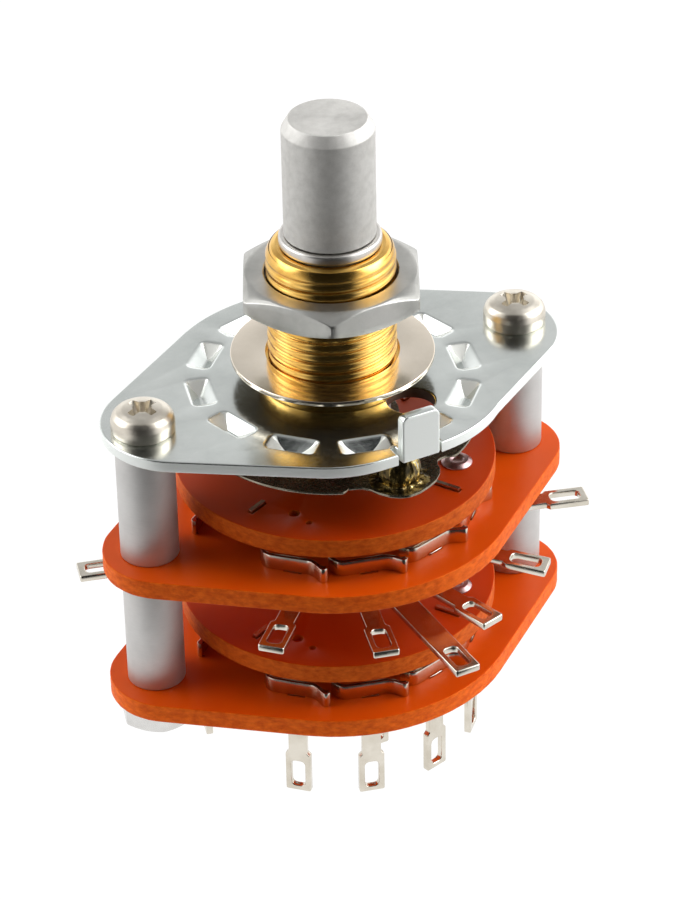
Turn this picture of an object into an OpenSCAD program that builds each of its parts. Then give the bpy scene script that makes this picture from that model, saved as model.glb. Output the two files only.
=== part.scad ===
// Two-deck open-frame rotary switch for a panel: a shaft in a threaded
// bushing, an index plate with detent pits, and two laminate decks held on
// two long screws. Millimetres. +Z points up the shaft, and z = 0 is the top
// of the flat washer, where the back of the panel sits. X runs through the
// two long screws.

/* [Shaft and bushing] */
// Radius of the shaft
shaft_r = 3.175; // [3.0:0.005:3.3]
// Height of the shaft's tip above the panel seat
shaft_tip_z = 18; // [14:0.1:30]
// Radius of the bushing's thread
thread_r = 4.5; // [4.3:0.05:4.6]
// Height of the bushing above the panel seat
bushing_h = 8.45; // [7:0.05:9]
// Radial clearance of the shaft in its bushing
shaft_gap = 0.045; // [0.02:0.005:0.08]
// Radius of the bushing's shoulder
shoulder_r = 5.2; // [5.0:0.1:6.0]

/* [Mounting hardware] */
// Outer diameter of the flat washer
washer_od = 14.2; // [12:0.1:15]
// Thickness of the flat washer
washer_t = 0.35; // [0.3:0.05:0.5]
// Width of the mounting nut across its flats
nut_af = 12; // [11:0.5:14]
// Thickness of the mounting nut
nut_h = 2; // [1.5:0.1:2.2]
// Height of the mounting nut's underside above the panel seat
nut_z = 4.35; // [1:0.05:4.6]

/* [Front plate] */
// Radius of the round part of the plate
plate_r = 12.1; // [11.8:0.05:12.4]
// Thickness of the plate
plate_t = 0.85; // [0.8:0.05:1.0]
// Radius of the ring of detent pits
pit_ring_r = 9.4; // [9.2:0.05:9.5]
// Depth of a detent pit
pit_depth = 0.75; // [0.5:0.05:0.75]
// Height of the locating tab above the panel seat
tab_top_z = 0.7; // [0.5:0.05:2]

/* [Decks] */
// Radius of the round part of a stator
stator_r = 12.75; // [12.5:0.05:13]
// Thickness of the laminate
laminate_t = 1.4; // [1.2:0.1:1.5]
// Length of a spacer
spacer_l = 9.2; // [9.0:0.1:10]
// Outer radius of a spacer
spacer_r = 2.05; // [1.9:0.05:2.2]
// Radius of a rotor disc
rotor_r = 11.35; // [11:0.05:11.5]
// Distance from the axis to each long screw
screw_x = 14.62; // [14.4:0.02:14.8]
// Radius of the long screws
screw_r = 1.1; // [1.0:0.05:1.2]

/* [Contacts] */
// Thickness of the contact strip
strip_t = 0.5; // [0.3:0.05:0.6]
// Height of a contact spring above its stator
spring_h = 1.15; // [0.9:0.05:1.2]
// Radius of the ring of contact legs
leg_r = 10; // [9.9:0.05:10.1]
// Radius of the ring of common legs
common_r = 5.6; // [5.5:0.05:5.7]
// Length of a solder lug below its stator
lug_l = 6.95; // [6:0.05:9]
// Width of a solder lug at its eye
lug_w = 1.85; // [1.7:0.05:2.1]
// Step of the index, in degrees
step_deg = 30; // [30]

/* [Hidden] */

$fn = 64;

// Heights down the stack, from the panel seat
flange_top = -washer_t;
plate_top = -2.05;
plate_bot = plate_top - plate_t;
stator1_top = plate_bot - spacer_l;
stator1_bot = stator1_top - laminate_t;
stator2_top = stator1_bot - spacer_l;
stator2_bot = stator2_top - laminate_t;
rotor1_top = -8.4;
rotor1_bot = rotor1_top - laminate_t;
rotor2_top = rotor1_bot - spacer_l;
rotor2_bot = rotor2_top - laminate_t;
spring_z = -5.3;         // top of the index spring
spring_t = 0.2;
ball_r = 1.5;
ball_z = plate_bot - ball_r - 0.05;
ball_ring_r = pit_ring_r;
tail_flat = 1.9;         // half the thickness of the flatted tail
sleeve_r = 4;
clip_t = 0.5;
bore_r = shaft_r + shaft_gap;

// Angles of the contacts: one pole in front, the other behind
function contact_deg(i) = i <= 5 ? -135 + (i - 1) * step_deg
                                 : 45 + (i - 6) * step_deg;
// Each upper lug as it was bent: reach from the axis, and how much its root
// and its tip stand above the bend's usual height. The last contact of each
// pole has a longer lug, to reach past the ears
function lug_bend(i) = i == 1 ? [15.4, 0.6, 0.6]
    : i == 2 ? [15.2, 0.15, 0.15]
    : i == 3 ? [15.85, 0.37, 0.37]
    : i == 4 ? [15.6, 0.38, 0]
    : i == 5 ? [18.6, 0.42, 0.22]
    : i == 10 ? [18.75, -0.05, -0.05]
    : [15.6, 0.2, 0.2];
// How much shorter a lower lug is than the longest
function lug_less(i) = i == 3 ? 0.17 : i == 4 ? 0.3 : 0;

function polar(r, a) = [r * cos(a), r * sin(a)];
function unit(v) = v / norm(v);
function left_of(v) = [-v[1], v[0]];
// Direction that splits the corner at point i of a path, lengthened so that
// the strip keeps its thickness round the corner
function side(p, i) =
    let (n = len(p) - 1,
         a = i == 0 ? unit(p[1] - p[0]) : unit(p[i] - p[i - 1]),
         b = i == n ? unit(p[n] - p[n - 1]) : unit(p[i + 1] - p[i]),
         m = unit(left_of(a) + left_of(b)))
    m / (m * left_of(a));
function ribbon(p, t) = concat(
    [for (i = [0 : len(p) - 1]) p[i] + side(p, i) * t / 2],
    [for (i = [len(p) - 1 : -1 : 0]) p[i] - side(p, i) * t / 2]);

// Blank of a deck or of the plate: a round middle with two rounded ears. The
// straight edges lie a hair inside the tangents, so that they cross the curves
module ear_blank(r, ear_r, ear_x, z0, h) {
    a = acos((r - ear_r) / ear_x);
    q = r - 0.03;
    qe = ear_r - 0.03;
    translate([0, 0, z0]) union() {
        cylinder(r = r, h = h);
        for (s = [-1, 1]) translate([s * ear_x, 0, 0])
            cylinder(r = ear_r, h = h, $fn = 64);
        linear_extrude(height = h) polygon([
            [q * cos(a), q * sin(a)],
            [-q * cos(a), q * sin(a)],
            [-ear_x - qe * cos(a), qe * sin(a)],
            [-ear_x - qe * cos(a), -qe * sin(a)],
            [-q * cos(a), -q * sin(a)],
            [q * cos(a), -q * sin(a)],
            [ear_x + qe * cos(a), -qe * sin(a)],
            [ear_x + qe * cos(a), qe * sin(a)]]);
    }
}

module tube(ro, ri, z0, h) {
    translate([0, 0, z0]) difference() {
        cylinder(r = ro, h = h);
        translate([0, 0, -1]) cylinder(r = ri, h = h + 2);
    }
}

// Round bar with two flats, as the shaft's tail and the holes that it drives
module double_d(r, flat, z0, h) {
    translate([0, 0, z0]) intersection() {
        cylinder(r = r, h = h);
        translate([-r - 1, -flat, -1]) cube([2 * r + 2, 2 * flat, h + 2]);
    }
}

// ---- shaft line ------------------------------------------------------------

module shaft() {
    color([0.70, 0.70, 0.69]) union() {
        rotate_extrude($fn = 96) polygon([
            [0, shaft_tip_z], [2.7, shaft_tip_z], [shaft_r, shaft_tip_z - 0.8],
            [shaft_r, 9.3], [2.7, 9.3], [2.7, bushing_h + 0.01],
            [shaft_r, bushing_h + 0.01], [shaft_r, -3.5], [4, -3.5],
            [4, spring_z], [0, spring_z]]);
        difference() {
            double_d(shaft_r, tail_flat, -23.6, -23.6 * -1 + spring_z + 0.5);
            tube(shaft_r + 1, 2.8, rotor2_bot - clip_t, clip_t);
        }
    }
}

module retaining_ring() {
    color([0.80, 0.80, 0.80]) translate([0, 0, bushing_h + 0.03]) difference() {
        cylinder(r = 3.55, h = 0.75, $fn = 96);
        translate([0, 0, -1]) cylinder(r = 2.75, h = 3);
        rotate([0, 0, 60]) translate([0, -0.6, -1]) cube([6, 1.2, 3]);
    }
}

module bushing() {
    color([0.80, 0.62, 0.28]) rotate_extrude($fn = 96) polygon([
        [bore_r + 0.25, bushing_h], [3.95, bushing_h],
        [thread_r, bushing_h - 0.5], [thread_r, flange_top],
        [shoulder_r, flange_top], [shoulder_r, plate_top], [4, plate_top],
        [4, plate_bot], [4.5, plate_bot], [4.25, plate_bot - 0.4],
        [bore_r, plate_bot - 0.4], [bore_r, bushing_h - 0.25]]);
}

module flat_washer() {
    color([0.78, 0.72, 0.67]) tube(washer_od / 2, thread_r + 0.15,
        -washer_t, washer_t, $fn = 96);
}

module mounting_nut() {
    color([0.62, 0.62, 0.60]) translate([0, 0, nut_z]) difference() {
        intersection() {
            rotate([0, 0, 2.6])
                cylinder(r = nut_af / 2 / cos(30), h = nut_h, $fn = 6);
            rotate_extrude($fn = 96) polygon([[0, 0], [nut_af / 2 - 0.1, 0],
                [nut_af / 2 + 1.2, 0.75], [nut_af / 2 + 1.2, nut_h - 0.75],
                [nut_af / 2 - 0.1, nut_h], [0, nut_h]]);
        }
        translate([0, 0, -1]) cylinder(r = thread_r + 0.05, h = nut_h + 2);
        translate([0, 0, nut_h - 0.3])
            cylinder(r1 = thread_r + 0.05, r2 = thread_r + 0.4, h = 0.31);
        translate([0, 0, -0.01])
            cylinder(r1 = thread_r + 0.4, r2 = thread_r + 0.05, h = 0.31);
    }
}

// ---- front plate and index -------------------------------------------------

// Hipped pit: long l, wide w at its mouth, with a ridge of length l0 and
// width w0 at depth d, and its mouth raised by up
module hip(l, w, l0, w0, d, up) {
    intersection() {
        rotate([90, 0, 0]) linear_extrude(height = 2 * w, center = true)
            polygon([[-l / 2, 0], [-l0 / 2, -d], [l0 / 2, -d], [l / 2, 0],
                [l / 2, up], [-l / 2, up]]);
        rotate([90, 0, 90]) linear_extrude(height = 2 * l, center = true)
            polygon([[-w / 2, 0], [-w0 / 2, -d], [w0 / 2, -d], [w / 2, 0],
                [w / 2, up], [-w / 2, up]]);
    }
}

module front_plate() {
    color([0.72, 0.75, 0.78]) difference() {
        union() {
            difference() {
                ear_blank(plate_r, 5.5, 11.85, plate_bot, plate_t, $fn = 96);
                // straight front edge, and the slits beside the tab
                translate([-6, -14, plate_bot - 1]) cube([12, 2.55, 4]);
                translate([-1.1, -12, plate_bot - 1]) cube([3.33, 1.7, 4]);
            }
            // locating tab, bent up from the edge
            translate([-0.77, -11.45, plate_bot]) cube([2.85, 1.35, plate_t]);
            difference() {
                translate([-0.77, -11.45, plate_bot])
                    cube([2.85, 0.75, tab_top_z - plate_bot]);
                for (s = [-1, 1]) translate([0.655 + s * 0.975, 0, tab_top_z - 0.45])
                    rotate([90, 0, 0]) difference() {
                        translate([s > 0 ? 0 : -1, 0, 9]) cube([1, 1, 4]);
                        translate([0, 0, 8]) cylinder(r = 0.45, h = 6);
                    }
            }
            // underside of the pits, begun inside the plate
            for (i = [0 : 11]) rotate([0, 0, 15 + 30 * i])
                translate([pit_ring_r, 0, plate_bot + 0.25]) rotate([0, 0, 90])
                    hip(4.2, 2.4, 1.5, 0.5, 0.85, 0.1);
        }
        for (i = [0 : 11]) rotate([0, 0, 15 + 30 * i])
            translate([pit_ring_r, 0, plate_top]) rotate([0, 0, 90])
                hip(4, 1.9, 1.4, 0.1, pit_depth, 0.5);
        translate([0, 0, plate_bot - 2]) cylinder(r = 4.04, h = 6);
        for (s = [-1, 1]) translate([s * screw_x, 0, plate_bot - 2])
            cylinder(r = screw_r + 0.15, h = 6);
        translate([3, -5.75, plate_bot - 2]) cylinder(r = 1.65, h = 6);
    }
}

// Wedge of the plane between two angles, out to radius r
module sector(a0, a1, r) {
    polygon([[0, 0], polar(r, a0), polar(r * 1.05, (a0 + a1) / 2),
        polar(r, a1)]);
}

module index_spring() {
    color([0.50, 0.49, 0.46]) difference() {
        translate([0, 0, spring_z - spring_t]) linear_extrude(height = spring_t)
        difference() {
            union() {
                difference() {
                    circle(10.1, $fn = 96);
                    circle(7.9);
                    // relief beside each ball pocket
                    for (s = [0, 180]) rotate(s) {
                        rotate(-108.5) translate([9.65, -0.6]) square([2, 1.2]);
                        rotate(-68) translate([9.5, -0.45]) square([2, 0.9]);
                    }
                }
                for (s = [0, 180]) rotate(s) {
                    translate([0, -ball_ring_r]) circle(2.45);
                    translate([1, -9.35]) circle(2.2);
                }
                circle(4.6);
                translate([-1.8, -8.2]) square([3.6, 16.4]);
            }
            for (s = [-1, 1]) translate([0, s * ball_ring_r]) circle(1.32);
        }
        double_d(shaft_r + 0.04, tail_flat + 0.04, spring_z - 1, 2);
    }
}

module detent_ball(s) {
    color([0.75, 0.75, 0.76])
        translate([0, s * ball_ring_r, ball_z]) sphere(r = ball_r, $fn = 48);
}
module front_detent_ball() { detent_ball(-1); }
module rear_detent_ball() { detent_ball(1); }

module index_sleeve() {
    color([0.76, 0.76, 0.77]) tube(sleeve_r, bore_r, rotor1_top,
        spring_z - spring_t - rotor1_top);
}

module rotor_sleeve() {
    color([0.76, 0.76, 0.77]) tube(sleeve_r, bore_r, rotor2_top, spacer_l);
}

module tail_clip() {
    color([0.45, 0.44, 0.42]) translate([0, 0, rotor2_bot - clip_t])
        difference() {
            cylinder(r = 4.3, h = clip_t);
            translate([0, 0, -1]) cylinder(r = 2.84, h = 3);
            rotate([0, 0, 90]) translate([0, -1.6, -1]) cube([6, 3.2, 3]);
        }
}

// ---- rotors and wipers -----------------------------------------------------

module rotor_disc(z0) {
    color([0.72, 0.16, 0.03]) difference() {
        translate([0, 0, z0]) cylinder(r = rotor_r, h = laminate_t, $fn = 128);
        double_d(shaft_r + 0.04, tail_flat + 0.04, z0 - 1, laminate_t + 2);
        for (s = [0, 180]) rotate([0, 0, s]) {
            rotate([0, 0, -60]) translate([8.25, -0.22, z0 - 1])
                cube([2, 0.44, laminate_t + 2]);
            rotate([0, 0, -155]) translate([8.1, -0.22, z0 - 1])
                cube([1.6, 0.44, laminate_t + 2]);
            rotate([0, 0, -39.8]) translate([8.75, 0, z0 - 1])
                cylinder(r = 0.5, h = laminate_t + 2, $fn = 24);
            // punch marks
            rotate([0, 0, -137.5]) translate([8.36, 0, z0 + laminate_t - 0.4])
                cylinder(r = 0.42, h = 1, $fn = 24);
            rotate([0, 0, -129]) translate([9.2, 0, z0 + laminate_t - 0.3])
                cylinder(r = 0.25, h = 1, $fn = 24);
        }
    }
}
module upper_rotor() { rotor_disc(rotor1_bot); }
module lower_rotor() { rotor_disc(rotor2_bot); }

// One wiper, under the disc whose underside is at z0: a flat arc with an
// inner wall that rides on the common, an outer blade that rides on the
// selected contact, and two tabs up through the disc
module wiper(z0, turn) {
    color([0.80, 0.76, 0.70]) rotate([0, 0, turn]) difference() {
        union() {
            translate([0, 0, z0 - 0.3]) linear_extrude(height = 0.3)
                intersection() {
                    difference() { circle(9.9); circle(6.3); }
                    rotate(-96) union() {
                        sector(-62, 0, 13);
                        sector(0, 62, 13);
                    }
                }
            translate([0, 0, z0 - 1.7]) linear_extrude(height = 1.6)
                intersection() {
                    difference() { circle(6.6); circle(6.3); }
                    rotate(-96) union() {
                        sector(-62, 0, 13);
                        sector(0, 62, 13);
                    }
                }
            translate([0, 0, z0 - 1.8]) linear_extrude(height = 1.6)
                intersection() {
                    difference() { circle(9.1); circle(8.8); }
                    rotate(-75) sector(-7, 7, 13);
                }
            // tabs up through the disc
            rotate([0, 0, -60]) translate([8.3, -0.15, z0 - 0.15])
                cube([1.9, 0.3, laminate_t + 0.35]);
            rotate([0, 0, -155]) translate([8.15, -0.15, z0 - 0.15])
                cube([1.5, 0.3, laminate_t + 0.35]);
        }
        rotate([0, 0, -39.8]) translate([8.75, 0, z0 - 2])
            cylinder(r = 0.5, h = 4, $fn = 24);
    }
}
module upper_wiper_a() { wiper(rotor1_bot, 0); }
module upper_wiper_b() { wiper(rotor1_bot, 180); }
module lower_wiper_a() { wiper(rotor2_bot, 0); }
module lower_wiper_b() { wiper(rotor2_bot, 180); }

module wiper_rivets(z0) {
    color([0.80, 0.66, 0.40]) for (s = [-39.8, 140.2]) rotate([0, 0, s])
        translate([8.75, 0, 0]) rotate_extrude($fn = 32) polygon([
            [0, z0 + laminate_t + 0.35], [0.5, z0 + laminate_t + 0.35],
            [1.1, z0 + laminate_t + 0.12], [1.1, z0 + laminate_t],
            [0.48, z0 + laminate_t], [0.48, z0 - 0.3], [0.8, z0 - 0.3],
            [0.7, z0 - 0.6], [0, z0 - 0.6]]);
}
module upper_wiper_rivets() { wiper_rivets(rotor1_bot); }
module lower_wiper_rivets() { wiper_rivets(rotor2_bot); }

// ---- stators ---------------------------------------------------------------

module stator(z0) {
    color([0.80, 0.22, 0.04]) difference() {
        ear_blank(stator_r, 4.5, 13.35, z0, laminate_t, $fn = 128);
        translate([0, 0, z0 - 1]) cylinder(r = 4.7, h = laminate_t + 2);
        for (s = [-1, 1]) translate([s * screw_x, 0, z0 - 1])
            cylinder(r = screw_r + 0.15, h = laminate_t + 2);
        for (i = [1 : 10]) rotate([0, 0, contact_deg(i)])
            translate([leg_r - strip_t / 2 - 0.05, -0.75, z0 - 1])
                cube([strip_t + 0.1, 1.5, laminate_t + 2]);
        for (a = [-90, 90]) rotate([0, 0, a])
            translate([common_r - strip_t / 2 - 0.05, -0.75, z0 - 1])
                cube([strip_t + 0.1, 1.5, laminate_t + 2]);
    }
}
module upper_stator() { stator(stator1_bot); }
module lower_stator() { stator(stator2_bot); }

// ---- contacts --------------------------------------------------------------

// Spring of a contact, seen from above: a curl inside, a flat run over the
// leg, a kick outwards and a hooked end
function spring_path() = [polar(9.5, -15.3), polar(10.02, -12.6),
    polar(10.16, -10.2), polar(10.0, -1.5), polar(10.05, 7.2),
    polar(10.4, 9.6), polar(11.04, 12.4), polar(10.85, 13.5)];
// Spring of a common: a shallow bow
function common_path() = [for (a = [-26 : 6.5 : 26])
    polar(common_r + 0.22 * (1 - cos(4.2 * a)), a)];
// Side view of a leg: down, and then outwards if the lug is bent
function leg_path(r, z_top, z_bot, tip_r, tip_z, bent) = bent
    ? concat([[r, z_top]],
        [for (k = [0 : 4]) [r + 0.5 - 0.5 * cos(22.5 * k),
                            z_bot + 0.5 - 0.5 * sin(22.5 * k)]],
        [[tip_r, tip_z]])
    : [[r, z_top], [r, z_bot]];

// Contact or common at angle a, on the stator whose top is at z1. tip_r is
// how far out a bent lug reaches, head_l is the length of its wide part, and
// rise is how much its root and tip stand above the usual height
module contact(a, r, z1, path, tip_r, bent, less = 0, head_l = 3.05,
        rise = [0, 0]) {
    bend_z = z1 - laminate_t - 2.1 + rise[0];
    tip_z = z1 - laminate_t - 2.1 + rise[1];
    end_z = z1 - laminate_t - lug_l + less;
    color([0.82, 0.79, 0.72]) rotate([0, 0, a]) union() {
        translate([0, 0, z1]) linear_extrude(height = spring_h)
            polygon(ribbon(path, 0.3));
        difference() {
            rotate([90, 0, 0])
                linear_extrude(height = lug_w, center = true)
                    polygon(ribbon(leg_path(r, z1 + 0.1,
                        bent ? bend_z : end_z, tip_r, tip_z, bent), strip_t));
            // narrow neck between the stator and the head
            for (s = [-1, 1]) if (bent) {
                translate([r - 2, s > 0 ? 0.68 : -2.68, bend_z - 1.5])
                    cube([tip_r - head_l - r + 2, 2, 9]);
            } else {
                translate([r - 2, s > 0 ? 0.68 : -2.68, end_z + 3.3])
                    cube([4, 2, 9]);
            }
            // eye
            if (bent) translate([tip_r - 1.6, 0, tip_z - 1]) eye();
            else translate([r, 0, end_z + 1.5]) rotate([0, 90, 0])
                translate([0, 0, -1]) eye();
        }
    }
}
module eye() {
    linear_extrude(height = 2) polygon([for (k = [0 : 19])
        let (a = 18 * k + 9, sx = cos(a) > 0 ? 1 : -1, sy = sin(a) > 0 ? 1 : -1)
        [sx * 0.72 + 0.36 * cos(a), sy * 0.16 + 0.36 * sin(a)]]);
}

module upper_contact(i) {
    contact(contact_deg(i), leg_r, stator1_top, spring_path(),
        lug_bend(i)[0], true, rise = [lug_bend(i)[1], lug_bend(i)[2]]);
}
module lower_contact(i) {
    contact(contact_deg(i), leg_r, stator2_top, spring_path(), 0, false,
        lug_less(i));
}
module upper_common(a) {
    contact(a, common_r, stator1_top, common_path(), 19, true,
        head_l = 12.2, rise = [0.08, 0.08]);
}
module lower_common(a) {
    contact(a, common_r, stator2_top, common_path(), 0, false, 0.4);
}

// ---- frame fasteners -------------------------------------------------------

module spacer(s, z0) {
    color([0.76, 0.77, 0.78]) translate([s * screw_x, 0, 0])
        tube(spacer_r, screw_r + 0.2, z0, spacer_l);
}
module upper_left_spacer() { spacer(-1, stator1_top); }
module upper_right_spacer() { spacer(1, stator1_top); }
module lower_left_spacer() { spacer(-1, stator2_top); }
module lower_right_spacer() { spacer(1, stator2_top); }

module screw(s) {
    color([0.72, 0.71, 0.69]) translate([s * screw_x, 0, 0]) union() {
        difference() {
            translate([0, 0, plate_top]) rotate_extrude() polygon([
                [0, 0], [2.1, 0], [2.22, 0.15], [2.22, 0.85], [2.1, 1.22],
                [1.85, 1.5], [1.4, 1.7], [0.8, 1.8], [0, 1.8]]);
            for (a = [0, 90]) rotate([0, 0, 20 + a])
                rotate([90, 0, 0]) linear_extrude(height = 0.55, center = true)
                    polygon([[-1.3, 0], [-0.5, -1.2], [0.5, -1.2], [1.3, 0],
                        [1.3, 1], [-1.3, 1]]);
        }
        translate([0, 0, stator2_bot - 2.6])
            cylinder(r = screw_r, h = plate_top - stator2_bot + 2.7);
    }
}
module left_screw() { screw(-1); }
module right_screw() { screw(1); }

module screw_nut(s) {
    color([0.72, 0.72, 0.70]) translate([s * screw_x, 0, stator2_bot - 1.9])
        difference() {
            intersection() {
                rotate([0, 0, 12]) cylinder(r = 2.5 / cos(30), h = 1.9,
                    $fn = 6);
                rotate_extrude() polygon([[0, 0], [2.3, 0], [3.1, 0.5],
                    [3.1, 1.9], [0, 1.9]]);
            }
            translate([0, 0, -1]) cylinder(r = screw_r + 0.02, h = 4);
        }
}
module left_screw_nut() { screw_nut(-1); }
module right_screw_nut() { screw_nut(1); }

// ---- nodes -----------------------------------------------------------------

shaft();
retaining_ring();
bushing();
flat_washer();
mounting_nut();
front_plate();
index_spring();
front_detent_ball();
rear_detent_ball();
index_sleeve();
upper_rotor();
upper_wiper_a();
upper_wiper_b();
upper_wiper_rivets();
rotor_sleeve();
lower_rotor();
lower_wiper_a();
lower_wiper_b();
lower_wiper_rivets();
tail_clip();
upper_stator();
lower_stator();
upper_left_spacer();
upper_right_spacer();
lower_left_spacer();
lower_right_spacer();
left_screw();
right_screw();
left_screw_nut();
right_screw_nut();
upper_contact(1);  // upper_contact_1
upper_contact(2);  // upper_contact_2
upper_contact(3);  // upper_contact_3
upper_contact(4);  // upper_contact_4
upper_contact(5);  // upper_contact_5
upper_contact(6);  // upper_contact_6
upper_contact(7);  // upper_contact_7
upper_contact(8);  // upper_contact_8
upper_contact(9);  // upper_contact_9
upper_contact(10);  // upper_contact_10
upper_common(-90);  // upper_common_front
upper_common(90);  // upper_common_rear
lower_contact(1);  // lower_contact_1
lower_contact(2);  // lower_contact_2
lower_contact(3);  // lower_contact_3
lower_contact(4);  // lower_contact_4
lower_contact(5);  // lower_contact_5
lower_contact(6);  // lower_contact_6
lower_contact(7);  // lower_contact_7
lower_contact(8);  // lower_contact_8
lower_contact(9);  // lower_contact_9
lower_contact(10);  // lower_contact_10
lower_common(-90);  // lower_common_front
lower_common(90);  // lower_common_rear
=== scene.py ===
import bpy
import bmesh
import math
from mathutils import Matrix, Vector
from mathutils.geometry import delaunay_2d_cdt


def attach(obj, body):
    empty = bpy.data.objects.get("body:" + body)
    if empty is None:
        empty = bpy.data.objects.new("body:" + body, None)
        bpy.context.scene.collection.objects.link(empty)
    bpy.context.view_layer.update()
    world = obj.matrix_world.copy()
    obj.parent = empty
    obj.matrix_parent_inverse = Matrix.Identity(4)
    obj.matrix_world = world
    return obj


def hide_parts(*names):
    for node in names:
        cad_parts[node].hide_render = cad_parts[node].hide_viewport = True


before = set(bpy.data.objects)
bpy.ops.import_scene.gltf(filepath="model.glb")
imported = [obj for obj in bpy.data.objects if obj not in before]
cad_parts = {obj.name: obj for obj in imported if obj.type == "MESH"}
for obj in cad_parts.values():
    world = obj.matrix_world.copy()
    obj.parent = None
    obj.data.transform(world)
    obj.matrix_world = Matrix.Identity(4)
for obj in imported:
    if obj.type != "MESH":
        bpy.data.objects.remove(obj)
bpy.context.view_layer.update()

MM = 0.001
PI = math.pi
COL = bpy.context.scene.collection

# Heights and radii, in mm, as in the solids
PLATE_TOP, PLATE_BOT, PLATE_R, PIT_R = -2.05, -2.9, 12.1, 9.4
ST1_TOP, ST1_BOT, ST2_TOP, ST2_BOT = -12.1, -13.5, -22.7, -24.1
RO1_TOP, RO1_BOT, RO2_TOP, RO2_BOT = -8.4, -9.8, -19.0, -20.4
SCREW_X, LEG_R, COMMON_R, STRIP = 14.62, 10.0, 5.6, 0.5
BUSH_H, TAB_TOP = 8.45, 0.7


# ---------------------------------------------------------------- geometry
def sub(a, b): return (a[0] - b[0], a[1] - b[1])
def length(a): return math.hypot(a[0], a[1])
def polar(r, deg): return (r * math.cos(math.radians(deg)), r * math.sin(math.radians(deg)))


def arc(r, a0, a1, step=3.0, c=(0, 0)):
    """Points of an arc, ends included."""
    n = max(1, int(math.ceil(abs(a1 - a0) / step)))
    out = []
    for k in range(n + 1):
        p = polar(r, a0 + (a1 - a0) * k / n)
        out.append((p[0] + c[0], p[1] + c[1]))
    return out


def circle(r, n, c=(0, 0), turn=0.0):
    return [(c[0] + r * math.cos(2 * PI * (k + turn) / n), c[1] + r * math.sin(2 * PI * (k + turn) / n)) for k in range(n)]


def fillet(pts, rad, n=4, closed=True):
    """Round the corners of a path. rad is one radius or one for each point."""
    out, count = [], len(pts)
    for i, p in enumerate(pts):
        r = rad[i] if isinstance(rad, (list, tuple)) else rad
        if r <= 0 or (not closed and i in (0, count - 1)):
            out.append(p)
            continue
        a, b = sub(pts[i - 1], p), sub(pts[(i + 1) % count], p)
        la, lb = length(a), length(b)
        if la < 1e-9 or lb < 1e-9:
            out.append(p)
            continue
        a, b = (a[0] / la, a[1] / la), (b[0] / lb, b[1] / lb)
        dot = max(-1.0, min(1.0, a[0] * b[0] + a[1] * b[1]))
        ang = math.acos(dot)
        if ang > PI - 0.02 or ang < 0.02:
            out.append(p)
            continue
        t = min(r / math.tan(ang / 2), 0.48 * la, 0.48 * lb)
        rr = t * math.tan(ang / 2)
        m = (a[0] + b[0], a[1] + b[1])
        lm = length(m)
        c = (p[0] + m[0] / lm * rr / math.sin(ang / 2), p[1] + m[1] / lm * rr / math.sin(ang / 2))
        s, e = (p[0] + a[0] * t, p[1] + a[1] * t), (p[0] + b[0] * t, p[1] + b[1] * t)
        t0, t1 = math.atan2(s[1] - c[1], s[0] - c[0]), math.atan2(e[1] - c[1], e[0] - c[0])
        d = (t1 - t0 + PI) % (2 * PI) - PI
        for k in range(n + 1):
            w = t0 + d * k / n
            out.append((c[0] + rr * math.cos(w), c[1] + rr * math.sin(w)))
    return out


def offset(loop, d):
    """Move a closed loop d to the left of its direction."""
    out, n = [], len(loop)
    for i in range(n):
        a, p, b = loop[i - 1], loop[i], loop[(i + 1) % n]
        u, v = sub(p, a), sub(b, p)
        lu, lv = length(u), length(v)
        n1, n2 = (-u[1] / lu, u[0] / lu), (-v[1] / lv, v[0] / lv)
        m = (n1[0] + n2[0], n1[1] + n2[1])
        lm = length(m)
        if lm < 1e-6:
            out.append(p)
            continue
        m = (m[0] / lm, m[1] / lm)
        k = d / max(0.35, m[0] * n1[0] + m[1] * n1[1])
        out.append((p[0] + m[0] * k, p[1] + m[1] * k))
    return out


def inside(p, loop):
    hit, n = False, len(loop)
    x, y = p
    for i in range(n):
        x1, y1 = loop[i]
        x2, y2 = loop[(i + 1) % n]
        if (y1 > y) != (y2 > y) and x < (x2 - x1) * (y - y1) / (y2 - y1) + x1:
            hit = not hit
    return hit


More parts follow.
